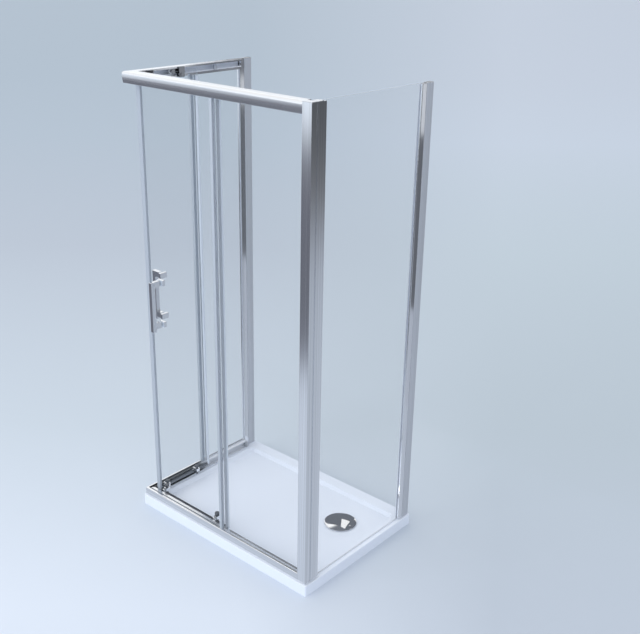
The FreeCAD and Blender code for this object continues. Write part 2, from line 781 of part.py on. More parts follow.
def hanger(middle):
    """Cast hanger: an arm with two wheel pins, and a block that grips the pane's upper edge."""
    arm_u = (door_pane_u - hanger_plate, door_pane_u)
    half_arm = hanger_arm_height / 2
    block_s = (middle + hanger_block_offset - hanger_block_width / 2,
               middle + hanger_block_offset + hanger_block_width / 2)
    bottom = door_pane_top - hanger_drop
    wheels = (middle - wheel_spacing / 2, middle + wheel_spacing / 2)

    arm = block((wheels[0], block_s[1]), arm_u, (wheel_z - half_arm, wheel_z + half_arm))
    nose = rod(half_arm, wheels[0], arm_u, wheel_z)
    outer = block(block_s, arm_u, (bottom, wheel_z + half_arm))
    web_z = door_pane_top + hanger_web_gap
    inner_u = (door_pane_back + pad_lift, door_pane_back + pad_lift + hanger_block_depth)
    web = block(block_s, (arm_u[0], inner_u[1]), (web_z, web_z + hanger_web))
    inner = block(block_s, inner_u, (bottom, frame_top - hanger_below_top))
    corners = [e for e in inner.Edges if e.BoundBox.YLength < 0.01 and e.BoundBox.YMin > inner_u[1] - 0.01]
    inner = inner.makeFillet(1.5, corners)
    s, z = middle + hanger_block_offset, door_pane_top - bolt_drop
    bolt = rod(stud_radius, s, (arm_u[1] - 1, inner_u[0] + 1), z)
    pad = rod(bolt_pad_radius, s, (door_pane_back, inner_u[0] + 1), z)
    cap = rod(bolt_cap_radius, s, (inner_u[1] - 1, inner_u[1] + bolt_cap), z)
    wheel_u = (wheel_plane - wheel_width / 2, wheel_plane + wheel_width / 2)
    shapes = [arm, nose, outer, web, inner, bolt, pad, cap]
    for w in wheels:
        head_u = wheel_u[0] - running_gap - pin_head
        shapes.append(rod(pin_radius, w, (head_u, arm_u[0] + 1), wheel_z))
        shapes.append(rod(pin_head_radius, w, (head_u, wheel_u[0] - running_gap), wheel_z))
        shapes.append(rod(pin_head_radius, w, (wheel_u[1] + running_gap, arm_u[0] + 1), wheel_z))
    return joined(shapes)


def grooved_wheel(radius, groove_radius, groove_width, s, u_middle, z):
    """Wheel about a line across the run, with a groove for a bead and a bore for its pin."""
    bore = pin_radius + pin_clearance
    half = wheel_width / 2
    mouth = groove_width / 2 + (radius - groove_radius) * 0.25
    side = [(bore, -half), (radius - wheel_chamfer, -half), (radius, wheel_chamfer - half),
            (radius, -mouth), (groove_radius, -groove_width / 2)]
    section = side + [(r, -u) for r, u in reversed(side)]
    places = [V(s + r, u_middle + u, z) for r, u in section]
    face = Part.Face(Part.makePolygon(places + places[:1]))
    return face.revolve(V(s, u_middle, z), V(0, 1, 0), 360)


def roller_wheel(s):
    return grooved_wheel(wheel_radius, wheel_groove_radius, wheel_groove_width, s, wheel_plane, wheel_z)


def guide_wheel(s):
    return grooved_wheel(guide_wheel_radius, guide_groove_radius, guide_groove_width, s,
                         guide_wheel_plane, guide_wheel_z)


def guide_block(s):
    """Block inside the pane that carries a spring button, clamped by a nut outside."""
    u = (door_pane_back + pad_lift, door_pane_back + pad_lift + block_depth)
    half = block_width / 2
    body = block((s - half, s + half), u, (block_bottom, block_top))
    sides = [e for e in body.Edges if e.BoundBox.ZLength > 1 and e.BoundBox.YMin > u[1] - 0.01]
    body = body.makeFillet(block_edge_radius, sides)
    z = block_bottom + stud_above_block
    stud = rod(stud_radius, s, (door_pane_u - 1, u[0] + 0.4), z)
    pad = rod(guide_nut_radius - 1, s, (door_pane_back, u[0] + 0.4), z)
    nut = rod(guide_nut_radius, s, (door_pane_u - guide_nut, door_pane_u), z)
    bore = column(stem_radius + pin_clearance, s, stem_plane, (block_bottom - 1, block_top + 1))
    pocket = column(spring_pocket_radius, s, stem_plane, (block_top - spring_pocket_depth, block_top + 1))
    return joined([body, stud, pad, nut]).cut([bore, pocket])


def button(s):
    """Button, stem and wheel pin in one: pressing it lowers the wheel off the rail's lip."""
    knob_z = block_top + button_gap
    knob = column(button_radius, s, stem_plane, (knob_z, knob_z + button_height))
    crown = [e for e in knob.Edges if e.BoundBox.ZMin > knob_z + button_height - 0.01]
    knob = knob.makeFillet(button_edge_radius, crown)
    stem = column(stem_radius, s, stem_plane, (guide_wheel_z, knob_z + 1))
    eye_u = (stem_plane - eye_depth / 2, stem_plane + eye_depth / 2)
    eye = block((s - eye_width / 2, s + eye_width / 2), eye_u,
                (guide_wheel_z - eye_height / 2, guide_wheel_z + eye_height / 2))
    wheel_u = (guide_wheel_plane - wheel_width / 2, guide_wheel_plane + wheel_width / 2)
    head_u = wheel_u[0] - running_gap - pin_head
    pin = rod(pin_radius, s, (head_u, eye_u[0] + 1), guide_wheel_z)
    head = rod(pin_head_radius, s, (head_u, wheel_u[0] - running_gap), guide_wheel_z)
    collar = rod(collar_radius, s, (wheel_u[1] + running_gap, eye_u[0] + 1), guide_wheel_z)
    return joined([knob, stem, eye, pin, head, collar])


# --- Every piece by name -------------------------------------------------------------------
pieces = {
    "tray": tray(),
    "waste_body": waste_body(),
    "waste_seal": waste_seal(),
    "waste_nut": waste_nut(),
    "waste_cover": waste_cover(),
    "corner_post": on_front(corner_post()),
    "side_panel_profile": on_right(side_panel_profile()),
    "right_wall_channel": on_right(wall_channel()),
    "right_adjusting_profile": on_right(adjusting_profile()),
    "left_wall_channel": on_left(wall_channel()),
    "left_adjusting_profile": on_left(adjusting_profile()),
    "front_header": on_front(header(front_run)),
    "left_header": on_left(header(adjusting_start)),
    "front_bottom_rail": on_front(bottom_rail(front_run)),
    "left_bottom_rail": on_left(bottom_rail(adjusting_start)),
    "corner_plates": Part.makeCompound([
        on_front(corner_plate_at(header_radius, frame_top - header_wall - corner_plate)),
        on_front(corner_plate_at(groove_u1 + wall, rail_floor))]),
    "side_glass": on_right(side_glass()),
    "header_end_brackets": Part.makeCompound([on_front(header_end_bracket(front_run)),
                                              on_left(header_end_bracket(adjusting_start))]),
    "rail_end_plugs": Part.makeCompound([on_front(rail_end_plug(front_run)),
                                         on_left(rail_end_plug(adjusting_start))]),
    "door_stops": Part.makeCompound([on_front(door_stop(front_opening, travel_of(front_opening))),
                                     on_left(door_stop(left_opening, travel_of(left_opening)))]),
    "top_caps": Part.makeCompound([
        on_front(top_cap((front_run, front_run + post_width), (0, post_depth),
                         (0, upright_radius, upright_radius, 0))),
        on_right(top_cap((side_profile_start, side_profile_end - upright_groove), (0, side_profile_width),
                         (upright_radius, 0, 0, upright_radius))),
        on_right(top_cap((wall_channel_start, side_run), (0, wall_channel_width), (lip_radius, 0, 0, lip_radius))),
        on_left(top_cap((wall_channel_start, side_run), (0, wall_channel_width), (lip_radius, 0, 0, lip_radius)))]),
}

gaskets = [on_right(side_gasket())]
for side, opening, upright, place in (("front", front_opening, front_run, on_front),
                                      ("left", left_opening, adjusting_start, on_left)):
    pieces[side + "_fixed_glass"] = place(run_pane(opening, upright))
    pieces[side + "_fixed_edge"] = place(fixed_edge(opening))
    gaskets.append(place(run_gasket(opening, upright)))
    pieces[side + "_door_glass"] = place(door_pane(opening))
    pieces[side + "_closing_seal"] = place(closing_seal())
    pieces[side + "_trailing_seal"] = place(trailing_seal(opening))
    pieces[side + "_drip_seal"] = place(drip_seal(opening))
    pieces[side + "_handle"] = place(handle())
    pieces[side + "_handle_pads"] = place(handle_pads())
    pieces[side + "_handle_washers"] = place(handle_washers())
    pieces[side + "_hangers"] = place(Part.makeCompound([hanger(c) for c in carriages(opening)]))
    pieces[side + "_guide_blocks"] = place(Part.makeCompound([guide_block(c) for c in guides(opening)]))
    for number, c in enumerate(guides(opening), 1):
        pieces[f"{side}_button_{number}"] = place(button(c))
        pieces[f"{side}_guide_wheel_{number}"] = place(guide_wheel(c))
    wheels = [c + half * wheel_spacing for c in carriages(opening) for half in (-0.5, 0.5)]
    for number, s in enumerate(wheels, 1):
        pieces[f"{side}_roller_wheel_{number}"] = place(roller_wheel(s))
pieces["glazing_gaskets"] = Part.makeCompound(gaskets)

os.makedirs("parts", exist_ok=True)
for name, shape in pieces.items():
    shape.exportStep(f"parts/{name}.step")
print(len(pieces), "nodes; doors travel", travel_of(front_opening), travel_of(left_opening))
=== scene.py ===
# %% [markdown]
# # A corner-entry shower enclosure
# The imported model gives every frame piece, pane, seal and wheel its size and place. This lesson
# loads it, lights it like a product photograph, gives each piece its finish, and remakes the few
# pieces whose edges and curves the photograph shows close up. Everything is in metres, with the
# floor at zero and the wall behind the enclosure towards +Y.

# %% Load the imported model
import json
import math

import bmesh
import bpy
from mathutils import Matrix, Vector


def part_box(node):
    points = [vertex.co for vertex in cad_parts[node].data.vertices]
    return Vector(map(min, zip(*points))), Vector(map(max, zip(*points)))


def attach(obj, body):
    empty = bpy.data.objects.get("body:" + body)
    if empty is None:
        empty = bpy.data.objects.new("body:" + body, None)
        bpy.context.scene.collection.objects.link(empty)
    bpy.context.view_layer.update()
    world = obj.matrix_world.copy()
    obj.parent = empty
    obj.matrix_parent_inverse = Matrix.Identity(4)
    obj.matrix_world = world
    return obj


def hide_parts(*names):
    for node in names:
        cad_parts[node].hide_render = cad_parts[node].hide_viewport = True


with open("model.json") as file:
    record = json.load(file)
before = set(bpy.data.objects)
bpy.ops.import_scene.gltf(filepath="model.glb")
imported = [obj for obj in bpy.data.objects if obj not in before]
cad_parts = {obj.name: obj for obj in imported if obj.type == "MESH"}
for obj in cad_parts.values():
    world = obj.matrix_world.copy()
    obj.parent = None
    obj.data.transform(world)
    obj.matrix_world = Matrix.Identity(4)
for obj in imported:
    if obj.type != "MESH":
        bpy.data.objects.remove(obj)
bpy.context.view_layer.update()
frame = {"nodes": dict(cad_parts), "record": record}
nodes = frame["nodes"]

# %% [markdown]
# The camera stands in front of the enclosure and to its right, a little above its top, and looks
# down at it. Its place and lens were worked out from the straight edges of the tray and the
# frame, the focal length in the photograph's own pixels. A look-at constraint would be shorter,
# but the camera is also rolled by about a degree, so its three axes are built by hand and
# written as a matrix.

# %% Camera
camera_place = Vector((2.547, -2.672, 2.461))
azimuth = math.radians(-40.72)
elevation = math.radians(-22.05)
roll = math.radians(1.10)
focal_length, picture_width = 951.3, 640.0

forward = Vector((math.sin(azimuth) * math.cos(elevation),
                  math.cos(azimuth) * math.cos(elevation), math.sin(elevation)))
level_right = forward.cross(Vector((0, 0, 1))).normalized()
level_up = level_right.cross(forward)
right = math.cos(roll) * level_right + math.sin(roll) * level_up
up = math.cos(roll) * level_up - math.sin(roll) * level_right

camera_data = bpy.data.cameras.new("camera")
camera_data.sensor_width = 36.0
camera_data.lens = focal_length / picture_width * camera_data.sensor_width
camera_data.clip_end = 200.0
camera = bpy.data.objects.new("camera", camera_data)
axes = Matrix((right, up, -forward)).transposed().to_4x4()
camera.matrix_world = Matrix.Translation(camera_place) @ axes
bpy.context.scene.collection.objects.link(camera)
bpy.context.scene.camera = camera
bpy.context.scene.view_settings.view_transform = "Standard"
print("lens", round(camera_data.lens, 2), "mm")

# %% [markdown]
# Every finish is one main shader with a few nodes before it. These helpers make a material and
# the nodes that come back most: a colour ramp, a mix, a change of range, a sum, a noise and a
# bump. Colours are written as a picture's 0 to 255 values, because that is how they were
# compared with the photograph, and turned into linear light here.


# %% Colours and material nodes
def colour(red, green, blue, alpha=1.0):
    """Linear colour from the 0 to 255 values that a picture gives."""
    def linear(value):
        value = value / 255
        return value / 12.92 if value <= 0.04045 else ((value + 0.055) / 1.055) ** 2.4
    return (linear(red), linear(green), linear(blue), alpha)


def new_material(name):
    """Empty material with an output and one main shader; returns it with its nodes and links."""
    material = bpy.data.materials.new(name)
    material.use_nodes = True
    tree = material.node_tree
    return material, tree.nodes, tree.links, tree.nodes["Principled BSDF"]


def ramp(tree_nodes, stops):
    """Colour ramp with the given stops, each a position and a colour."""
    node = tree_nodes.new("ShaderNodeValToRGB")
    elements = node.color_ramp.elements
    elements[0].position, elements[0].color = stops[0]
    elements[1].position, elements[1].color = stops[-1]
    for position, value in stops[1:-1]:
        elements.new(position).color = value
    return node


def mixed_by(tree_nodes, links, factor, first, second):
    """Mix of two colour outputs by a factor output; returns its colour output."""
    node = tree_nodes.new("ShaderNodeMix")
    node.data_type = "RGBA"
    links.new(factor, node.inputs["Factor"])
    links.new(first, node.inputs[6])
    links.new(second, node.inputs[7])
    return node.outputs[2]


def ranged(tree_nodes, links, value, low, high):
    """The value output mapped from low..high to 0..1."""
    node = tree_nodes.new("ShaderNodeMapRange")
    node.inputs["From Min"].default_value = low
    node.inputs["From Max"].default_value = high
    links.new(value, node.inputs["Value"])
    return node.outputs["Result"]


def worked(tree_nodes, links, operation, *values):
    """Output of one sum on values, each a number or an output."""
    node = tree_nodes.new("ShaderNodeMath")
    node.operation = operation
    for socket, value in zip(node.inputs, values):
        if isinstance(value, float):
            socket.default_value = value
        else:
            links.new(value, socket)
    return node.outputs["Value"]


def grained(tree_nodes, links, scale):
    """Noise of the given scale on the piece's own coordinates; returns its factor output."""
    place = tree_nodes.new("ShaderNodeTexCoord")
    noise = tree_nodes.new("ShaderNodeTexNoise")
    noise.inputs["Scale"].default_value = scale
    links.new(place.outputs["Object"], noise.inputs["Vector"])
    return noise.outputs["Fac"]


def bumped(tree_nodes, links, shader, height, strength, distance):
    """Gives the shader a faint bump by a height output."""
    bump = tree_nodes.new("ShaderNodeBump")
    bump.inputs["Strength"].default_value = strength
    bump.inputs["Distance"].default_value = distance
    links.new(height, bump.inputs["Height"])
    links.new(bump.outputs["Normal"], shader.inputs["Normal"])


print("a picture's 128 is", round(colour(128, 128, 128)[0], 3), "in linear light")

# %% [markdown]
# The floor is one pale sheet that runs far behind the enclosure, so it is also the backdrop. Its
# colour carries painted light: brightest at the lower left, a little darker towards the back,
# and even down its right side. Two gradients along the floor's depth, mixed across it, paint
# that light and shade into the floor and cost no light. The mix goes by how far to the side a
# place lies divided by how far off it is, because the picture's left and right are lines of
# sight. Glossy rays pass through the floor, so that the metal shows the studio in the world.

# %% Floor
floor_reach = 60.0
floor_mesh = bpy.data.meshes.new("floor")
shape = bmesh.new()
bmesh.ops.create_grid(shape, x_segments=1, y_segments=1, size=floor_reach)
shape.to_mesh(floor_mesh)
shape.free()
floor = bpy.data.objects.new("floor", floor_mesh)
bpy.context.scene.collection.objects.link(floor)
floor.visible_glossy = False

floor_paint, n, link, shader = new_material("floor_paint")
place = n.new("ShaderNodeTexCoord")
turn = n.new("ShaderNodeMapping")
turn.inputs["Rotation"].default_value = (0, 0, azimuth)
link.new(place.outputs["Object"], turn.inputs["Vector"])
parts = n.new("ShaderNodeSeparateXYZ")
link.new(turn.outputs["Vector"], parts.inputs["Vector"])
near, far = -1.5, 13.5


def deep(metres):
    """Where a depth behind the enclosure's middle falls on the floor's ramps."""
    return (metres - near) / (far - near)


depth = ranged(n, link, parts.outputs["Y"], near, far)
# Both ramps are painted light: the floor's colour is brightest at the lower left and darker
# towards the back.
left_painted_light = ramp(n, [(0.0, colour(215, 224, 238)), (deep(-0.67), colour(216, 225, 239)),
                     (deep(0.79), colour(198, 209, 221)), (deep(3.9), colour(185, 195, 209)),
                     (deep(8.4), colour(180, 194, 209)), (1.0, colour(177, 192, 207))])
right_painted_light = ramp(n, [(0.0, colour(190, 200, 214)), (deep(-0.67), colour(188, 198, 212)),
                      (deep(0.79), colour(185, 197, 208)), (deep(3.9), colour(193, 206, 217)),
                      (deep(8.4), colour(201, 212, 227)), (1.0, colour(200, 210, 225))])
for side in (left_painted_light, right_painted_light):
    link.new(depth, side.inputs["Fac"])

sight_line, tilt_share, to_camera, shortest = 0.188, 0.927, 4.34, 2.5
leftmost, rightmost = -0.08, 0.19
across = worked(n, link, "SUBTRACT", parts.outputs["X"], sight_line)
away = worked(n, link, "MULTIPLY_ADD", parts.outputs["Y"], tilt_share, to_camera)
away = worked(n, link, "MAXIMUM", away, shortest)
sideways = ranged(n, link, worked(n, link, "DIVIDE", across, away), leftmost, rightmost)
link.new(mixed_by(n, link, sideways, left_painted_light.outputs["Color"], right_painted_light.outputs["Color"]),
         shader.inputs["Base Color"])
shader.inputs["Roughness"].default_value = 0.7
floor_mesh.materials.append(floor_paint)
print("floor ready,", 2 * floor_reach, "m wide")

# %% [markdown]
# The world has two jobs. To matt surfaces it gives plain, even light, a little brighter from the
# left. In reflections it is a studio instead: a pale floor, a dark band beyond it, bright walls
# and a dark ceiling. A plain white world would make polished metal look like white paint, and a
# world with dark bands for everything would dim the tray. A mix by the kind of ray keeps the two
# apart. Front faces and end faces reflect different sides of the studio, so each side has bands
# of its own, placed by how steeply a ray climbs.

# %% World
world = bpy.data.worlds.new("studio")
bpy.context.scene.world = world
world.use_nodes = True
n, link = world.node_tree.nodes, world.node_tree.links
background = n["Background"]
place = n.new("ShaderNodeTexCoord")
parts = n.new("ShaderNodeSeparateXYZ")
link.new(place.outputs["Generated"], parts.inputs["Vector"])
lowest, highest = -0.7, 1.0


def at(sine):
    """Where a ray's upward slope falls on the world's ramps."""
    return (sine - lowest) / (highest - lowest)


slope = ranged(n, link, parts.outputs["Z"], lowest, highest)
front_side = ramp(n, [(0.0, colour(186, 195, 209)), (at(-0.435), colour(198, 207, 221)),
                      (at(-0.408), colour(104, 107, 117)), (at(-0.215), colour(103, 105, 115)),
                      (at(-0.175), colour(230, 239, 250)), (at(0.10), colour(246, 250, 255)),
                      (at(0.77), colour(255, 255, 255)), (at(0.84), colour(120, 124, 132)),
                      (1.0, colour(112, 116, 124))])
back_side = ramp(n, [(0.0, colour(178, 186, 200)), (at(-0.42), colour(172, 180, 192)),
                     (at(-0.33), colour(164, 171, 183)), (at(-0.25), colour(106, 108, 113)),
                     (at(-0.17), colour(80, 83, 87)), (at(-0.10), colour(84, 87, 92)),
                     (at(-0.02), colour(150, 156, 166)), (at(0.06), colour(206, 209, 214)),
                     (at(0.30), colour(190, 194, 200)), (at(0.42), colour(112, 115, 121)),
                     (1.0, colour(112, 116, 124))])
for side in (front_side, back_side):
    link.new(slope, side.inputs["Fac"])
front_until, back_from = -0.52, -0.40
which_side = ranged(n, link, parts.outputs["X"], front_until, back_from)
reflected = mixed_by(n, link, which_side, front_side.outputs["Color"],
                     back_side.outputs["Color"])
brightest_left, dimmest_right = -0.6, 0.8
plain = ramp(n, [(0.0, colour(252, 254, 255)), (1.0, colour(226, 228, 231))])
link.new(ranged(n, link, parts.outputs["X"], brightest_left, dimmest_right),
         plain.inputs["Fac"])
ray = n.new("ShaderNodeLightPath")
link.new(mixed_by(n, link, ray.outputs["Is Glossy Ray"], plain.outputs["Color"], reflected),
         background.inputs["Color"])
background.inputs["Strength"].default_value = 1.11
print("world ready,", len(front_side.color_ramp.elements), "bands in front and",
      len(back_side.color_ramp.elements), "behind")

# %% [markdown]
# One large soft lamp at the front left makes the tray's front and the headers' fronts a little
# brighter than the sides. It is larger than the enclosure and far off, so its shadows are faint.

# %% Lamp
lamp_data = bpy.data.lights.new("soft_lamp", "AREA")
lamp_data.shape = "RECTANGLE"
lamp_data.size, lamp_data.size_y = 6.0, 4.0
lamp_data.energy = 225.0
lamp = bpy.data.objects.new("soft_lamp", lamp_data)
lamp.location = (-1.4, -8.2, 4.0)
lit_place = Vector((0, 0, 0.5))
lamp.rotation_euler = (lit_place - lamp.location).to_track_quat("-Z", "Y").to_euler()
bpy.context.scene.collection.objects.link(lamp)
print("lamp", round((lit_place - lamp.location).length, 2), "m from the enclosure")

# %% [markdown]
# The uprights show dark and light zones that change with height. A photographer makes them with
# flags, which are dark cards, and windows, which are bright ones. These nine stand upright
# behind the enclosure and only reflections show them. A wall would throw them on the matt
# surfaces too, so each is hidden from the camera, from plain light and from shadows.


# %% Cards that reflections show
def glossy_card(name, place, x, z, tone):
    """Upright card behind the enclosure that only reflections show: a flag or a window."""
    mesh = bpy.data.meshes.new(name)
    shape = bmesh.new()
    bmesh.ops.create_grid(shape, x_segments=1, y_segments=1, size=0.5)
    bmesh.ops.scale(shape, vec=(x[1] - x[0], z[1] - z[0], 1), verts=shape.verts)
    bmesh.ops.rotate(shape, cent=(0, 0, 0), matrix=Matrix.Rotation(math.pi / 2, 3, "X"),
                     verts=shape.verts)
    bmesh.ops.translate(shape, vec=((x[0] + x[1]) / 2, place, (z[0] + z[1]) / 2),
                        verts=shape.verts)
    shape.to_mesh(mesh)
    shape.free()
    paper, _, _, shader = new_material(name + "_paper")
    shader.inputs["Base Color"].default_value = (0, 0, 0, 1)
    shader.inputs["Specular IOR Level"].default_value = 0.0
    shader.inputs["Emission Color"].default_value = tone
    shader.inputs["Emission Strength"].default_value = 1.0
    mesh.materials.append(paper)
    card = bpy.data.objects.new(name, mesh)
    bpy.context.scene.collection.objects.link(card)
    card.visible_camera = card.visible_diffuse = False
    card.visible_shadow = card.visible_transmission = False


flag, window, pale = colour(108, 112, 120), colour(255, 255, 255), colour(205, 209, 216)
deep_flag, low_card = colour(100, 103, 110), colour(176, 183, 196)
card_row, window_row = 1.20, 1.19
studio_cards = (
    (card_row, (-1.85, 0.15), (0.05, 2.15), flag),
    (window_row, (-0.52, -0.15), (0.85, 2.15), window),
    (window_row, (-0.12, 0.14), (0.05, 0.50), window),
    (card_row, (0.15, 0.60), (1.54, 1.70), pale),
    (card_row, (0.15, 0.95), (1.70, 2.15), flag),
    (card_row, (0.60, 0.95), (1.54, 1.70), flag),
    (card_row, (0.95, 1.30), (1.54, 2.15), pale),
    (card_row, (0.15, 1.30), (0.62, 1.54), deep_flag),
    (card_row, (0.15, 1.30), (0.05, 0.62), low_card))
for k, (place, x, z, tone) in enumerate(studio_cards):
    glossy_card(f"studio_card_{k}", place, x, z, tone)
print(len(studio_cards), "cards in the studio")

# %% [markdown]
# The frame is extruded aluminium, polished and anodised bright. The die leaves very fine lines
# along an extrusion, which smear a reflection across it, and broader streaks where the metal is
# a little darker. Two noises stretched along the bar give them, one fed to a faint bump and one
# to the colour. Uprights, front rails and side rails each need the stretch along their own axis,
# so the same finish is made three times. The wall channels and the uprights on the fixed panes'
# free edges are satin and show an even grey instead. The insides of the headers and rails are
# unpolished. The rails' insides also carry painted shade: the front rail's is a darker grey than
# the metal, and the left rail's goes from near black by the corner to light further back.


# %% Finish: drawn aluminium
def stretched(tree_nodes, links, place, along, across_scale, along_scale, detail):
    """Noise drawn out along the given axis; returns its factor output."""
    stretch = tree_nodes.new("ShaderNodeMapping")
    scale = [across_scale] * 3
    scale[along] = along_scale
    stretch.inputs["Scale"].default_value = scale
    links.new(place.outputs["Object"], stretch.inputs["Vector"])
    noise = tree_nodes.new("ShaderNodeTexNoise")
    noise.inputs["Scale"].default_value = 1.0
    noise.inputs["Detail"].default_value = detail
    links.new(stretch.outputs["Vector"], noise.inputs["Vector"])
    return noise.outputs["Fac"]


def die_lined(name, along, roughness, depth, metal):
    """Metal with its die's fine lines along the given axis, before it has a colour."""
    material, n, link, shader = new_material(name)
    place = n.new("ShaderNodeTexCoord")
    lines = stretched(n, link, place, along, 900.0, 3.0, detail=3.0)
    bumped(n, link, shader, lines, depth, 0.0002)
    shader.inputs["Metallic"].default_value = metal
    shader.inputs["Roughness"].default_value = roughness
    return material, n, link, shader, place


def drawn_aluminium(name, along, tint=(0.92, 0.935, 0.96, 1), roughness=0.13, depth=0.03,
                    metal=1.0):
    """Extruded finish with die lines, and with streaks a little darker than the tint."""
    material, n, link, shader, place = die_lined(name, along, roughness, depth, metal)
    streaks = stretched(n, link, place, along, 160.0, 0.4, detail=2.0)
    darker = tuple(0.86 * value for value in tint[:3]) + (1,)
    shade = ramp(n, [(0.3, darker), (0.7, tint)])
    link.new(streaks, shade.inputs["Fac"])
    link.new(shade.outputs["Color"], shader.inputs["Base Color"])
    return material


aluminium = {axis: drawn_aluminium("drawn_aluminium_" + axis, number, roughness=rough)
             for number, (axis, rough) in enumerate(zip("xyz", (0.19, 0.13, 0.13)))}
header_inside = drawn_aluminium("header_inside", 1, colour(238, 243, 252), 0.3, 0.2, 0.0)
# The front rail's inside is unpolished, and its grey, darker than the metal, is painted shade in
# the groove and channel.
rail_light = drawn_aluminium("rail_light", 0, colour(188, 194, 204), 0.3, 0.2, 0.0)
# The left rail's inside is painted shade: near black by the corner, fading to light further back.
rail_painted_shade_fade, n, link, shader, place = die_lined("rail_inside", 1, 0.3, 0.2, 0.0)
parts = n.new("ShaderNodeSeparateXYZ")
link.new(place.outputs["Object"], parts.inputs["Vector"])
shade_until, unshaded_from = -0.04, 0.0
shade_fade = ramp(n, [(0.0, colour(38, 40, 45)), (1.0, colour(214, 219, 228))])
link.new(ranged(n, link, parts.outputs["Y"], shade_until, unshaded_from), shade_fade.inputs["Fac"])
link.new(shade_fade.outputs["Color"], shader.inputs["Base Color"])
satin = drawn_aluminium("satin_aluminium", 2, colour(205, 210, 219), 0.55, 0.15, 0.35)
satin_edge = drawn_aluminium("satin_edge", 2, colour(190, 199, 210), 0.5, 0.15, 0.25)
print("aluminium along", ", ".join(aluminium), "and satin")

# %% [markdown]
# Handles, guides and the waste cover are chrome plated. Chrome is a mirror with hardly any
# colour of its own; what makes it read as chrome is the dark band that it reflects. Plating
# follows the casting under it, so a slow, shallow unevenness keeps its reflections from being
# ruled straight. The hangers are plated too, but they sit in the headers' shade, where the metal
# looks dark, so their chrome is written darker: that darker tint is painted shade.


# %% Finish: chrome
def plated(name, tint):
    """Chrome plating with the slow waves of the casting under it."""
    material, n, link, shader = new_material(name)
    bumped(n, link, shader, grained(n, link, 60.0), 0.05, 0.0006)
    shader.inputs["Base Color"].default_value = tint
    shader.inputs["Metallic"].default_value = 1.0
    shader.inputs["Roughness"].default_value = 0.05
    return material


chrome = plated("chrome", (0.90, 0.91, 0.93, 1))
# The hangers' darker tint is painted shade from the headers they hang in.
hanger_chrome = plated("hanger_chrome", (0.30, 0.31, 0.33, 1))
print("finishes:", chrome.name, "and", hanger_chrome.name)

# %% [markdown]
# The panes are clear toughened glass, 6 mm thick. Through a flat pane things are seen unbent,
# so a plain low alpha shows the same as real refraction, with no noise and honest shadows. The
# pane takes a few percent of the light, a little more of the red. Looking along the pane from
# its edge there is far more glass, so the ground edges are a second, denser finish.


# %% Finish: glass
def clear_glass(name, tint, alpha, roughness):
    """Glass that lets through all but the given share of what is behind it."""
    material, _, _, shader = new_material(name)
    shader.inputs["Base Color"].default_value = tint
    shader.inputs["Alpha"].default_value = alpha
    shader.inputs["Roughness"].default_value = roughness
    shader.inputs["IOR"].default_value = 1.5
    return material


glass_face = clear_glass("glass_face", colour(128, 142, 152), 0.035, 0.03)
glass_edge = clear_glass("glass_edge", colour(206, 218, 226), 0.32, 0.45)
print("finishes:", glass_face.name, "and", glass_edge.name)

# %% [markdown]
# Seals are soft milky plastic, each written in the grey that it has in the photograph. The
# rubbers are matt and the wheels white nylon. The tray is white acrylic with a gloss. A faint
# noise in the surface keeps each from looking like plain paint.


# %% Finish: plastics and rubbers
def plastic(name, tint, roughness, scale=200.0, depth=0.02):
    """Plain finish with a faint grain of the given scale and depth."""
    material, n, link, shader = new_material(name)
    bumped(n, link, shader, grained(n, link, scale), depth, 0.001)
    shader.inputs["Base Color"].default_value = tint
    shader.inputs["Roughness"].default_value = roughness
    return material


acrylic = plastic("acrylic", colour(229, 237, 251), 0.22, scale=25.0, depth=0.01)
seal_plastic = plastic("seal_plastic", colour(214, 223, 235), 0.45)
closing_plastic = plastic("closing_plastic", colour(170, 179, 191), 0.45)
fin_plastic = plastic("fin_plastic", colour(168, 175, 186), 0.45)
drip_plastic = plastic("drip_plastic", colour(112, 116, 124), 0.45)
button_plastic = plastic("button_plastic", colour(84, 87, 94), 0.3)
grey_rubber = plastic("grey_rubber", colour(222, 228, 238), 0.6)
black_rubber = plastic("black_rubber", colour(34, 36, 40), 0.55)
stop_rubber = plastic("stop_rubber", colour(176, 181, 190), 0.6)
nylon = plastic("nylon", colour(222, 224, 226), 0.4)
moulding = plastic("moulding", colour(190, 192, 194), 0.45)
print(len(bpy.data.materials), "materials so far")

# %% [markdown]
# Each run of the frame is described by three lengths in millimetres: s along it from the outer
# corner, u inwards from its outer face, and z up. Three small functions put such a place in the
# room. The left run is the front run's mirror image, so its faces are turned over. The doors'
# hangers and guides stand at the same distances from the two ends of each sliding pane, so a
# run needs only two more lengths: where its sliding pane ends, and where its bars end.

# %% Places on the three runs, and a new piece
mm = 0.001
corner_x, corner_y = -492.0, -342.0


def on_front(s, u, z):
    return Vector((corner_x + s, corner_y + u, z)) * mm


def on_left(s, u, z):
    return Vector((corner_x + u, corner_y + s, z)) * mm


def on_right(s, u, z):
    return Vector((-corner_x - u, corner_y + s, z)) * mm


runs = {"front": (on_front, 504.0, 939.0), "left": (on_left, 350.0, 617.0)}
first_fitting = 82.0


def hanger_middles(door_end):
    return first_fitting, door_end - 108.0


def guide_middles(door_end):
    return first_fitting, door_end - 88.0


def new_piece(name, shape, finishes, node, body):
    """Makes a piece of the mesh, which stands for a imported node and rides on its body."""
    mesh = bpy.data.meshes.new(name)
    shape.to_mesh(mesh)
    shape.free()
    for finish in finishes:
        mesh.materials.append(finish)
    piece = bpy.data.objects.new(name, mesh)
    bpy.context.scene.collection.objects.link(piece)
    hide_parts(node)
    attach(piece, body)
    return piece


def body_of(node):
    return next(body for body, held in frame["record"]["behaviour"]["bodies"].items()
                if node in held)


print("runs from", tuple(on_front(0, 0, 0)), "with doors to",
      [door_end for _, door_end, _ in runs.values()], "mm")

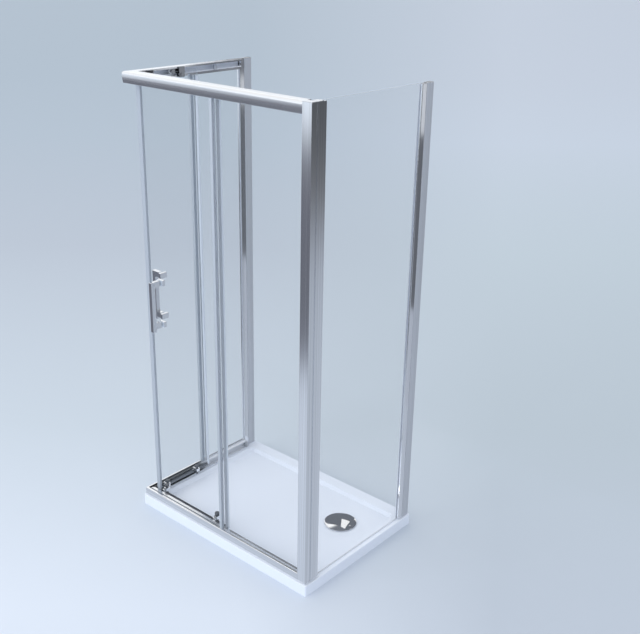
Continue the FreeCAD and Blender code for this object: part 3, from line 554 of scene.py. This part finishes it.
# %% [markdown]
# Every bar of the frame starts as the outline of its section. Its corners are given in turn,
# anticlockwise, each with a radius. A bevel could round them afterwards, but the radii differ
# from corner to corner, and a shallow bow has no corner at all. So the points of each arc are
# worked out here, and every point keeps the surface's true direction before and after it.


# %% A rounded outline
def rounded(corners, step=15.0):
    """Outline through corners (across, up, radius): a list of (point, normal in, normal out).
    A corner of four numbers is a point on a smooth curve with the given normal."""
    places = [Vector(corner[:2]) for corner in corners]
    outline = []
    for k, corner in enumerate(corners):
        here = places[k]
        if len(corner) == 4:
            normal = Vector(corner[2:]).normalized()
            outline.append((here, normal, normal))
            continue
        into = (here - places[k - 1]).normalized()
        out = (places[(k + 1) % len(corners)] - here).normalized()
        before, after = Vector((into.y, -into.x)), Vector((out.y, -out.x))
        radius = corner[2]
        if radius == 0:
            outline.append((here, before, after))
            continue
        turn = math.atan2(before.x * after.y - before.y * after.x, before.dot(after))
        bend = math.copysign(radius, turn)
        centre = here - into * radius * math.tan(abs(turn) / 2) - before * bend
        steps = max(2, math.ceil(abs(math.degrees(turn)) / step))
        for i in range(steps + 1):
            angle = turn * i / steps
            normal = Vector((before.x * math.cos(angle) - before.y * math.sin(angle),
                             before.x * math.sin(angle) + before.y * math.cos(angle)))
            outline.append((centre + normal * bend, normal, normal))
    return outline


print(len(rounded([(0, 0, 1), (2, 0, 0), (2, 2, 0), (0, 2, 0)])),
      "points round a square with one round corner")

# %% [markdown]
# One extrude makes the outline a bar: its near end is mitred where it meets the other run's bar,
# and its far end is then moved to its place. The mirrored run's outline comes out turned over, so
# it is flipped first. The mesh gets the outline's directions as its own normals, so flat faces
# stay flat and round ones smooth with few faces. Faces in a groove or a cavity get the bar's
# second finish, because the inside of a real one isn't polished; on the rails that finish also
# carries painted shade.


# %% An extruded bar
mitre_gap = 0.1


def extrusion(node, outline, place, bar_end, finishes, inside):
    """Piece that draws the outline from the mitre to bar_end. A face whose middle lies in one of
    the inside boxes (across from and to, up from and to) gets the second finish."""
    shape = bmesh.new()
    near_end = [shape.verts.new(place(p.x + mitre_gap, p.x, p.y)) for p, _, _ in outline]
    number = {vert: k for k, vert in enumerate(near_end)}
    cap = shape.faces.new(near_end)
    cap.normal_update()
    if cap.normal.dot(place(bar_end, 0, 0) - place(0, 0, 0)) < 0:
        cap.normal_flip()
    grown = bmesh.ops.extrude_face_region(shape, geom=[cap])["geom"]
    for vert in [part for part in grown if isinstance(part, bmesh.types.BMVert)]:
        k = next(number[other] for other in (edge.other_vert(vert) for edge in vert.link_edges)
                 if other in near_end)
        number[vert] = k
        vert.co = place(bar_end, *outline[k][0])
    bmesh.ops.recalc_face_normals(shape, faces=shape.faces)
    shape.normal_update()

    def direction(normal):
        return (place(0, *normal) - place(0, 0, 0)).normalized()

    normals = []
    for face in shape.faces:
        face.smooth = True
        corners = sorted({number[vert] for vert in face.verts})
        if len(corners) > 2:
            normals.extend([face.normal.copy()] * len(face.loops))
            continue
        k, j = corners if corners[1] - corners[0] == 1 else corners[::-1]
        middle = (outline[k][0] + outline[j][0]) / 2
        face.material_index = any(a0 <= middle.x <= a1 and b0 <= middle.y <= b1
                                  for a0, a1, b0, b1 in inside)
        normals.extend(direction(outline[k][2] if number[loop.vert] == k else outline[j][1])
                       for loop in face.loops)
    piece = new_piece(node + "_bar", shape, finishes, node, body_of(node))
    piece.data.normals_split_custom_set(normals)
    return piece


print("bars are mitred", mitre_gap, "mm short of each other")

# %% [markdown]
# The header is a hollow box, open below, with the slot that the hangers run in and the bead that
# carries their wheels. Its front is bowed by 3 mm under a round crown. That is too little to see
# as a shape, yet it is what spreads the reflection into soft bands. The bottom rail has a groove
# for the fixed pane, and a lip that the guide wheels hook behind.

# %% Headers and bottom rails
bar_pieces = []
header_low, header_top, header_back, header_wall = 1905.0, 1950.0, 44.0, 3.0
crown, bow, front_lip, bow_steps = 9.0, 2.9, 1.2, 12
fullest = header_top - crown
drop = fullest - header_low
bow_radius = (drop ** 2 + bow ** 2) / (2 * bow)


def bowed(down):
    """Point of the header's front that far below its fullest part, with its direction."""
    lean = math.asin(down / bow_radius)
    return (bow_radius * (1 - math.cos(lean)), fullest - down, -math.cos(lean), -math.sin(lean))


header_outline = rounded([
    (bow, header_low, front_lip), (9.0, header_low, 0.4), (9.0, 1914.8, 0), (17.0, 1914.8, 0),
    (17.0, header_low, 0.4), (19.2, header_low, 0.4), (19.2, 1914.8, 0.4), (30.0, 1914.8, 0.6),
    (30.0, 1917.0, 0.6), (27.0, 1917.0, 0), (27.0, 1921.0, 1.2), (24.0, 1921.0, 1.2),
    (24.0, 1917.0, 0), (header_wall, 1917.0, 0.5), (header_wall, 1947.8, 9.8),
    (41.8, 1947.8, 0), (41.8, 1943.0, 0.5), (header_back, 1943.0, 0.5),
    (header_back, header_top, 1.0), (0.0, header_top, crown),
    *[bowed((drop - front_lip) * k / bow_steps) for k in range(bow_steps + 1)]])
rail_outline = rounded([
    (0.0, 50.0, 0.4), (44.0, 50.0, 0.4), (44.0, 58.0, 0.5), (42.0, 58.0, 0.5), (42.0, 52.0, 0.3),
    (19.0, 52.0, 0), (19.0, 81.0, 0), (28.0, 81.0, 0), (28.0, 77.0, 0.5), (30.0, 77.0, 0.5),
    (30.0, 83.0, 0.8), (17.0, 83.0, 0.4), (17.0, 52.0, 0), (9.0, 52.0, 0), (9.0, 85.0, 0.4),
    (0.0, 85.0, 3.0)])
header_cavity = ((2.9, 41.9, 1916.9, 1947.9),)
# The rails' groove, channel and the left rail's guide lip take the rail's inside finish, which
# carries painted shade.
rail_groove, rail_channel = (8.9, 17.1, 51.5, 84.4), (18.5, 42.1, 51.5, 81.2)
guide_lip = (16.9, 30.1, 76.9, 83.1)
for run, axis, rail_parts, rail_finish in (
        ("front", "x", (rail_groove, rail_channel), rail_light),
        ("left", "y", (rail_groove, rail_channel, guide_lip), rail_painted_shade_fade)):
    place, _, bar_end = runs[run]
    for node, outline, inside, finish in (
            (run + "_header", header_outline, header_cavity, header_inside),
            (run + "_bottom_rail", rail_outline, rail_parts, rail_finish)):
        bar_pieces.append(extrusion(node, outline, place, bar_end,
                                    [aluminium[axis], finish], inside))
print("bars:", ", ".join(f"{piece.name} {len(piece.data.polygons)}" for piece in bar_pieces))

# %% [markdown]
# A pane has a bright face each side and a ground edge all round, with a small flat on both of
# its rims. The sliding panes are bored where the hangers, guides and handles go through. Cutting
# the bores out of a box would leave ragged faces, so each rim and bore is four rings of points.
# Bridges between the rings are the ground edge, and the outer rings bound the two clear faces,
# which a fill with holes closes.


# %% Panes
bore_radius, corner_radius, flat = 5.0, 2.0, 0.7


def pane(node, place, s, z, u, bores=()):
    """Glass pane between the limits s, z and u, bored at the given places (along, up)."""
    shape = bmesh.new()

    def ring(points, level):
        return [shape.verts.new(place(a, level, b)) for a, b in points]

    def rim(inset):
        r = corner_radius - inset
        found = []
        for (a, b), first in zip(((s[0], z[0]), (s[1], z[0]), (s[1], z[1]), (s[0], z[1])),
                                 (180, 270, 0, 90)):
            centre_a = a + (corner_radius if a == s[0] else -corner_radius)
            centre_b = b + (corner_radius if b == z[0] else -corner_radius)
            for k in range(4):
                angle = math.radians(first + 30 * k)
                found.append((centre_a + r * math.cos(angle), centre_b + r * math.sin(angle)))
        return found

    def bore(middle, inset):
        r = bore_radius + inset
        return [(middle[0] + r * math.cos(math.tau * k / 32),
                 middle[1] + r * math.sin(math.tau * k / 32)) for k in range(32)]

    faces_edges = ([], [])
    for boundary in [rim] + [lambda inset, m=m: bore(m, inset) for m in bores]:
        rings = [ring(boundary(flat), u[0]), ring(boundary(0), u[0] + flat),
                 ring(boundary(0), u[1] - flat), ring(boundary(flat), u[1])]
        loops = [[shape.edges.new((found[k - 1], found[k])) for k in range(len(found))]
                 for found in rings]
        for low, high in zip(loops, loops[1:]):
            for face in bmesh.ops.bridge_loops(shape, edges=low + high)["faces"]:
                face.material_index = 1
        for found, loop in zip(faces_edges, (loops[0], loops[3])):
            found.extend(loop)
    for found in faces_edges:
        bmesh.ops.triangle_fill(shape, use_beauty=True, edges=found)
    bmesh.ops.recalc_face_normals(shape, faces=shape.faces)
    return new_piece(node + "_pane", shape, [glass_face, glass_edge], node, body_of(node))


door_u, fixed_u = (38.0, 44.0), (10.0, 16.0)
door_start, overlap, into_upright = 46.2, 16.0, 13.0
hanger_bolt, hanger_height, guide_height = 20.0, 1918.0, 86.0
handle_bores = [(114.2, 913.5), (114.2, 1098.5)]
panes = [pane("side_glass", on_right, (59.0, 630.0), (52.0, 1950.0), fixed_u)]
for run, (place, door_end, bar_end) in runs.items():
    panes.append(pane(run + "_fixed_glass", place,
                      (door_end - overlap, bar_end + into_upright), (54.0, 1912.8), fixed_u))
    bores = ([(middle + hanger_bolt, hanger_height) for middle in hanger_middles(door_end)]
             + [(middle, guide_height) for middle in guide_middles(door_end)] + handle_bores)
    panes.append(pane(run + "_door_glass", place, (door_start, door_end), (74.0, 1930.0),
                      door_u, bores))
for piece in panes:
    node = piece.name[:-len("_pane")]
    low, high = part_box(node)
    worst = max(abs(min(v.co[a] for v in piece.data.vertices) - low[a]) for a in range(3))
    print(piece.name, len(piece.data.polygons), "faces, off the packed pane by",
          round(1000 * worst, 2), "mm")

# %% [markdown]
# The waste cover is a shallow chrome dome. Spinning its section gives a clean mirror, which a
# faceted copy can't. Under it are the ring that centres it, open at four places for the water,
# and three feet.


# %% Waste cover
def spun(shape, section, middle, axis, angle, steps, closed):
    """Spins a section, a closed line of points, about an axis. A full turn is closed by itself;
    a part turn is capped at both ends."""
    verts = [shape.verts.new(point) for point in section]
    edges = [shape.edges.new((verts[k - 1], verts[k])) for k in range(len(verts))]
    if closed:
        bmesh.ops.spin(shape, geom=verts + edges, cent=middle, axis=axis, angle=angle,
                       steps=steps, use_merge=True)
    else:
        cap = shape.faces.new(verts)
        bmesh.ops.spin(shape, geom=verts + edges + [cap], cent=middle, axis=axis, angle=angle,
                       steps=steps)


waste = Vector((298.0, 106.0, 0.0)) * mm


def waste_place(radius, height, angle=0.0):
    return waste + Vector((radius * math.cos(angle), radius * math.sin(angle), height)) * mm


def dome_points(radius, rise, base, count):
    """Points down a dome's section from near its top to its rim."""
    ball = (radius ** 2 + rise ** 2) / (2 * rise)
    found = []
    for k in range(count + 1):
        r = radius * k / count
        found.append((r, base + rise - ball + math.sqrt(ball ** 2 - r ** 2)))
    return found


upwards = (0, 0, 1)
cover_radius, cover_rise, cover_wall, cover_base, cover_rim = 71.5, 10.5, 1.6, 36.1, 34.3
ring_inner, ring_outer, ring_top, leg_foot, leg_top = 38.9, 40.5, 42.6, 24.3, 34.4
window_half_width, foot_circle, foot_middle, foot_height = 11.0, 54.0, 36.2, 9.8
shape = bmesh.new()
outside = dome_points(cover_radius, cover_rise, cover_base, 18)
outside = outside[:-1] + [(70.9, outside[-1][1] + 0.17), (71.3, 36.05), (cover_radius, 35.6),
                          (cover_radius, 34.6), (71.2, cover_rim)]
hollow_radius = cover_radius - cover_wall
inside = dome_points(hollow_radius, cover_rise - cover_wall, cover_base, 12)[::-1]
section = [waste_place(r, h) for r, h in outside + [(hollow_radius, cover_rim)] + inside]
spun(shape, section, waste, upwards, math.tau, 96, True)
ring = [(ring_inner, cover_rim), (ring_outer, cover_rim), (ring_outer, ring_top),
        (ring_inner, ring_top)]
spun(shape, [waste_place(r, h) for r, h in ring], waste, upwards, math.tau, 64, True)
half_window = math.asin(window_half_width / ring_outer)
leg = [(ring_inner, leg_foot), (ring_outer, leg_foot), (ring_outer, leg_top),
       (ring_inner, leg_top)]
for quarter in range(4):
    first = quarter * math.pi / 2 + half_window
    spun(shape, [waste_place(r, h, first) for r, h in leg], waste, upwards,
         math.pi / 2 - 2 * half_window, 10, False)
for k in range(3):
    middle = waste_place(foot_circle, foot_middle, math.tau * k / 3)
    bmesh.ops.create_cone(shape, cap_ends=True, segments=24, radius1=2.6 * mm, radius2=3.0 * mm,
                          depth=foot_height * mm, matrix=Matrix.Translation(middle))
bmesh.ops.remove_doubles(shape, verts=shape.verts, dist=1e-6)
bmesh.ops.recalc_face_normals(shape, faces=shape.faces)
for face in shape.faces:
    face.smooth = True
cover = new_piece("waste_cover_dome", shape, [chrome], "waste_cover", "waste_cover")
cover.data.set_sharp_from_angle(angle=math.radians(35))
print("waste cover", len(cover.data.polygons), "faces")

# %% [markdown]
# The wheels are nylon tyres on small steel bearings. One spun section makes both: the faces
# nearer the pin than the tyre get the steel.

# %% Wheels
steel, n, link, shader = new_material("bearing_steel")
bumped(n, link, shader, grained(n, link, 900.0), 0.1, 0.0002)
shader.inputs["Base Color"].default_value = colour(170, 172, 176)
shader.inputs["Metallic"].default_value = 1.0
shader.inputs["Roughness"].default_value = 0.28

roller = {"u_middle": 25.5, "z": 1931.8, "radius": 12.0, "groove": 10.5, "groove_width": 4.6}
guide = {"u_middle": 29.0, "z": 68.1, "radius": 10.0, "groove": 8.6, "groove_width": 3.4}
half_roller_spacing = 17.0


def wheel(node, place, s, u_middle, z, radius, groove, groove_width):
    """Grooved wheel about a line across the run, with a bearing round its bore. Its section is
    written for one side, from the bore out to the groove, and mirrored for the other."""
    half, hub = 3.5, 6.0
    mouth = groove_width / 2 + (radius - groove) * 0.25
    side = [(2.55, -half + 0.5), (3.6, -half + 0.3), (3.8, -half + 0.7), (5.2, -half + 0.7),
            (5.4, -half + 0.3), (hub, -half + 0.3), (hub + 0.2, -half + 0.1), (hub + 0.6, -half),
            (radius - 0.9, -half), (radius - 0.3, -half + 0.2), (radius, -half + 0.7),
            (radius, -mouth), (radius - 0.2, -mouth + 0.05), (groove, -groove_width / 2)]
    section = side + [(r, -u) for r, u in reversed(side)]
    shape = bmesh.new()
    middle = place(s, u_middle, z)
    axis = (place(s, u_middle + 1, z) - middle).normalized()
    spun(shape, [place(s + r, u_middle + u, z) for r, u in section], middle, axis, math.tau,
         40, True)
    bmesh.ops.remove_doubles(shape, verts=shape.verts, dist=1e-6)
    bmesh.ops.recalc_face_normals(shape, faces=shape.faces)
    for face in shape.faces:
        face.smooth = True
        reach = max((vert.co - middle - axis * (vert.co - middle).dot(axis)).length
                    for vert in face.verts)
        face.material_index = 1 if reach < (hub + 0.05) * mm else 0
    piece = new_piece(node + "_tyre", shape, [nylon, steel], node, node)
    piece.data.set_sharp_from_angle(angle=math.radians(40))
    return piece


wheel_count = 0
for run, (place, door_end, _) in runs.items():
    rollers = [middle + half for middle in hanger_middles(door_end)
               for half in (-half_roller_spacing, half_roller_spacing)]
    for k, s in enumerate(rollers, 1):
        wheel(f"{run}_roller_wheel_{k}", place, s, **roller)
    for k, s in enumerate(guide_middles(door_end), 1):
        wheel(f"{run}_guide_wheel_{k}", place, s, **guide)
    wheel_count += len(rollers) + 2
print(wheel_count, "wheels")

# %% [markdown]
# The seals on the panes' upright edges are milky plastic. A clear pane in the slot of a clear
# seal would stack so many see-through faces that they turn dark, so each seal is drawn as the
# outside of its section: a strip round the pane's edge, cut to meet the other door's at the
# corner, or with a darker fin that reaches for the fixed pane.


# %% Seals
def sleeve(node, place, parts, finishes):
    """Piece of upright strips, each an outline (along, across) between two heights, and each
    with the finish of the same place in its list."""
    shape = bmesh.new()
    for number, (outline, z) in enumerate(parts):
        before = set(shape.faces)
        base = shape.faces.new([shape.verts.new(place(s, u, z[0])) for s, u in outline])
        grown = bmesh.ops.extrude_face_region(shape, geom=[base])["geom"]
        bmesh.ops.translate(shape, vec=(0, 0, (z[1] - z[0]) * mm),
                            verts=[part for part in grown
                                   if isinstance(part, bmesh.types.BMVert)])
        for face in set(shape.faces) - before:
            face.material_index = number
    bmesh.ops.recalc_face_normals(shape, faces=shape.faces)
    bmesh.ops.bevel(shape, geom=shape.edges[:], offset=0.25 * mm, offset_type="OFFSET",
                    segments=1, profile=0.5, affect="EDGES", clamp_overlap=True, material=-1)
    return new_piece(node + "_strip", shape, finishes, node, body_of(node))


seal_wall, seal_grip, closing_end, fin_bottom = 1.2, 8.0, 58.2, 85.5
seal_clearance, fin_root = 0.3, 0.3
seal_low, seal_high = door_u[0] - seal_wall, door_u[1] + seal_wall
for run, (place, door_end, _) in runs.items():
    for node, finishes in ((run + "_closing_seal", [closing_plastic]),
                           (run + "_trailing_seal", [seal_plastic, fin_plastic])):
        low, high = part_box(node)
        bottom, top = low[2] / mm, high[2] / mm
        if "closing" in node:
            mitred = [(seal_low + seal_clearance, seal_low), (closing_end, seal_low),
                      (closing_end, seal_high), (seal_high + seal_clearance, seal_high)]
            parts = [(mitred, (bottom, top))]
        else:
            inwards, face = (1, corner_y) if run == "front" else (0, corner_x)
            fin_start = low[inwards] / mm - face
            inner, outer = door_end - seal_grip, door_end + seal_wall
            around = [(inner, seal_low), (outer, seal_low), (outer, seal_high),
                      (inner, seal_high)]
            fin = [(door_end - seal_wall, fin_start), (door_end, fin_start),
                   (door_end, seal_low + fin_root), (door_end - seal_wall, seal_low + fin_root)]
            parts = [(around, (bottom, top)), (fin, (fin_bottom, top))]
        piece = sleeve(node, place, parts, finishes)
        print(piece.name, len(piece.data.polygons), "faces, box", [round(v / mm, 1) for v in low],
              [round(v / mm, 1) for v in high])

# %% [markdown]
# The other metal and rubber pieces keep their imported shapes, but real edges are never knife
# sharp: a small round on each catches the light as a thin line. Each piece is copied, its flat
# faces are joined up again from their triangles, and its sharp edges get a narrow bevel.


# %% Softened pieces
def softened(node, width, finish, sharp=40.0):
    """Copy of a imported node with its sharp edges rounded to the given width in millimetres."""
    shape = bmesh.new()
    shape.from_mesh(nodes[node].data)
    bmesh.ops.remove_doubles(shape, verts=shape.verts, dist=2e-6)
    bmesh.ops.dissolve_limit(shape, angle_limit=math.radians(0.6), verts=shape.verts,
                             edges=shape.edges)
    edges = [edge for edge in shape.edges
             if len(edge.link_faces) == 2 and edge.calc_face_angle() > math.radians(sharp)]
    bmesh.ops.bevel(shape, geom=edges, offset=width * mm, offset_type="OFFSET", segments=2,
                    profile=0.5, affect="EDGES", clamp_overlap=True, material=-1)
    for face in shape.faces:
        face.smooth = True
    piece = new_piece(node + "_soft", shape, [finish], node, body_of(node))
    piece.data.set_sharp_from_angle(angle=math.radians(50))
    weighted = piece.modifiers.new("flat faces stay flat", "WEIGHTED_NORMAL")
    weighted.keep_sharp = True
    return piece


soft_pieces = {
    "corner_post": (0.5, aluminium["z"]), "side_panel_profile": (0.5, aluminium["z"]),
    "right_adjusting_profile": (0.4, aluminium["z"]),
    "left_adjusting_profile": (0.4, aluminium["z"]),
    "right_wall_channel": (0.4, satin), "left_wall_channel": (0.4, satin),
    "front_fixed_edge": (0.4, satin_edge), "left_fixed_edge": (0.4, satin_edge),
    "corner_plates": (0.3, aluminium["x"]), "header_end_brackets": (0.4, aluminium["x"]),
    "top_caps": (0.4, aluminium["x"]), "rail_end_plugs": (0.4, stop_rubber),
    "door_stops": (0.5, stop_rubber),
}
for run in ("front", "left"):
    soft_pieces.update({run + "_handle": (0.4, chrome), run + "_handle_pads": (0.4, chrome),
                        run + "_hangers": (0.5, hanger_chrome),
                        run + "_guide_blocks": (0.5, chrome),
                        run + "_button_1": (0.5, button_plastic),
                        run + "_button_2": (0.5, button_plastic)})
for node, (width, finish) in soft_pieces.items():
    piece = softened(node, width, finish)
    print(piece.name, len(piece.data.polygons))

# %% [markdown]
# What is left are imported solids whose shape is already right: the tray, the waste under its
# cover, the drip seals, washers and gaskets. They only get their finish.

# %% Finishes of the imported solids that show
finish_of = {"tray": acrylic, "waste_body": moulding, "waste_nut": moulding,
             "waste_seal": black_rubber, "glazing_gaskets": grey_rubber}
finish_by_word = {"drip_seal": drip_plastic, "washers": seal_plastic}
shown = [name for name, node in nodes.items() if not node.hide_render]
for name in shown:
    finish = finish_of.get(name)
    if finish is None:
        finish = next(f for word, f in finish_by_word.items() if word in name)
    nodes[name].data.materials.clear()
    nodes[name].data.materials.append(finish)
print("packed nodes that show:", ", ".join(sorted(shown)))
